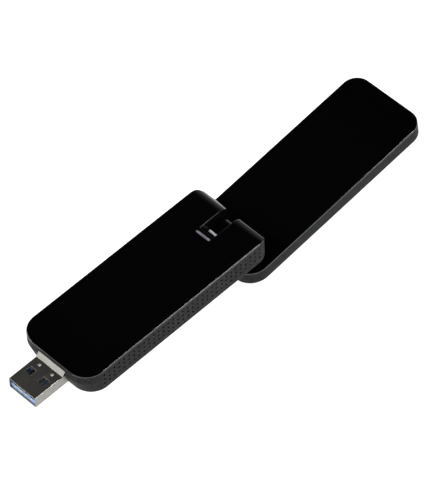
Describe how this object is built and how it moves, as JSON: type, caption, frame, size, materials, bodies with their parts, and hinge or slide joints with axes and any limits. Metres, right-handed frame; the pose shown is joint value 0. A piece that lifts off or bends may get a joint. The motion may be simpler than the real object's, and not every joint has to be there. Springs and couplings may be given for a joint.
{
  "type": "usb wireless adapter",
  "caption": "Flat black USB wireless adapter with a type A plug and a glossy antenna panel that folds out on a hinge at the far end.",
  "frame": {"origin": "middle of the plug where it enters the body", "axes": "+X from the plug along the body to its far end, +Y to the left, +Z out of the glossy top face"},
  "size_m": [0.1677, 0.0318, 0.0212],
  "materials": {
    "gloss_cover": "mirror gloss black plastic",
    "matte_shell": "fine spark-eroded matte black plastic",
    "light_lens": "smoky translucent plastic",
    "plug_steel": "nickel plated steel sheet",
    "tongue_blue": "light blue moulded plastic",
    "pale_nylon": "natural nylon",
    "gold_contact": "gold plated",
    "board": "green solder resist",
    "tinned_sheet": "tinned sheet",
    "package_black": "moulded package",
    "chip_parts": "ceramic chip parts",
    "led_white": "clear light package",
    "spreader": "plain rolled sheet",
    "pad_grey": "soft filled silicone",
    "lead_jacket": "smooth jacket",
    "bush_white": "acetal",
    "hinge_steel": "turned steel",
    "satin_strip": "satin steel strip",
    "copper": "bare copper",
    "foam": "open foam"
  },
  "bodies": {
    "adapter_body": {"body_top_cover": "gloss_cover", "body_lower_shell": "matte_shell", "light_pipe": "light_lens", "usb_plug_shell": "plug_steel", "usb_tongue": "tongue_blue", "usb_contact_block": "pale_nylon", "usb_front_contacts": "gold_contact", "usb_rear_contacts": "gold_contact", "lead_sockets": "gold_contact", "lead_plugs": "gold_contact", "main_board": "board", "shield_frame": "tinned_sheet", "shield_lid": "tinned_sheet", "crystal": "tinned_sheet", "radio_chip": "package_black", "front_end_chips": "package_black", "memory_chip": "package_black", "power_parts": "package_black", "switch_body": "package_black", "small_parts": "chip_parts", "status_led": "led_white", "heat_spreader": "spreader", "thermal_pad": "pad_grey", "body_leads": "lead_jacket", "left_bush": "bush_white", "right_bush": "bush_white", "board_screws": "hinge_steel"},
    "antenna_panel": {"hinge_knuckle": "gloss_cover", "hinge_stop_strip": "satin_strip", "pivot_tube": "hinge_steel", "hinge_pin": "hinge_steel", "spring_washers": "hinge_steel", "pin_nut": "hinge_steel", "antenna_inner_cover": "gloss_cover", "antenna_outer_shell": "matte_shell", "foot_screws": "hinge_steel", "antenna_board": "board", "antenna_radiators": "copper", "panel_leads": "lead_jacket", "foam_pads": "foam"},
    "pairing_button": {"pairing_button": "matte_shell", "switch_stem": "bush_white"}
  },
  "joints": [
    {"name": "antenna_fold", "type": "hinge", "parent": "adapter_body", "child": "antenna_panel", "pos_m": [0.0765, 0, -0.0009], "axis": [0, -1, 0], "range_deg": [-6.85, 173.15]},
    {"name": "pairing_press", "type": "slide", "parent": "adapter_body", "child": "pairing_button", "axis": [0, -1, 0], "range_m": [0, 0.00035], "stiffness_N_per_m": 1500, "springref_m": -0.0005}
  ]
}
